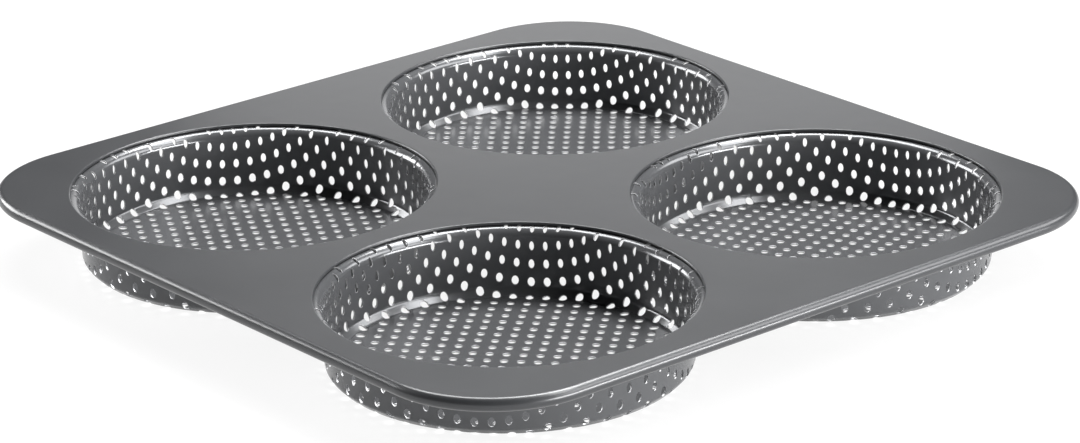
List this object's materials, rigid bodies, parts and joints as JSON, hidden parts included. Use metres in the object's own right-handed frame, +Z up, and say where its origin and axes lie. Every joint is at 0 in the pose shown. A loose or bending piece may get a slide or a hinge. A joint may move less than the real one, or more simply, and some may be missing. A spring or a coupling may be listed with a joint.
{
  "type": "burger bun pan",
  "caption": "Square steel baking pan with a rolled edge and round, shallow perforated cups that shape and brown burger buns.",
  "frame": {"origin": "middle of the square pan, on the surface it stands on, which is the underside of the cup floors", "axes": "+Z up, out of the cups; +X to the right and -Y to the front, both square to the pan's sides"},
  "size_m": [0.28, 0.28, 0.0243],
  "materials": {
    "deck_coating": "satin dark grey non-stick coating on steel sheet",
    "cup_coating": "semi-gloss near-black non-stick coating on perforated steel sheet"
  },
  "bodies": {
    "root": {"deck": "deck_coating", "cup_front_left": "cup_coating", "cup_front_right": "cup_coating", "cup_back_left": "cup_coating", "cup_back_right": "cup_coating"}
  },
  "joints": []
}
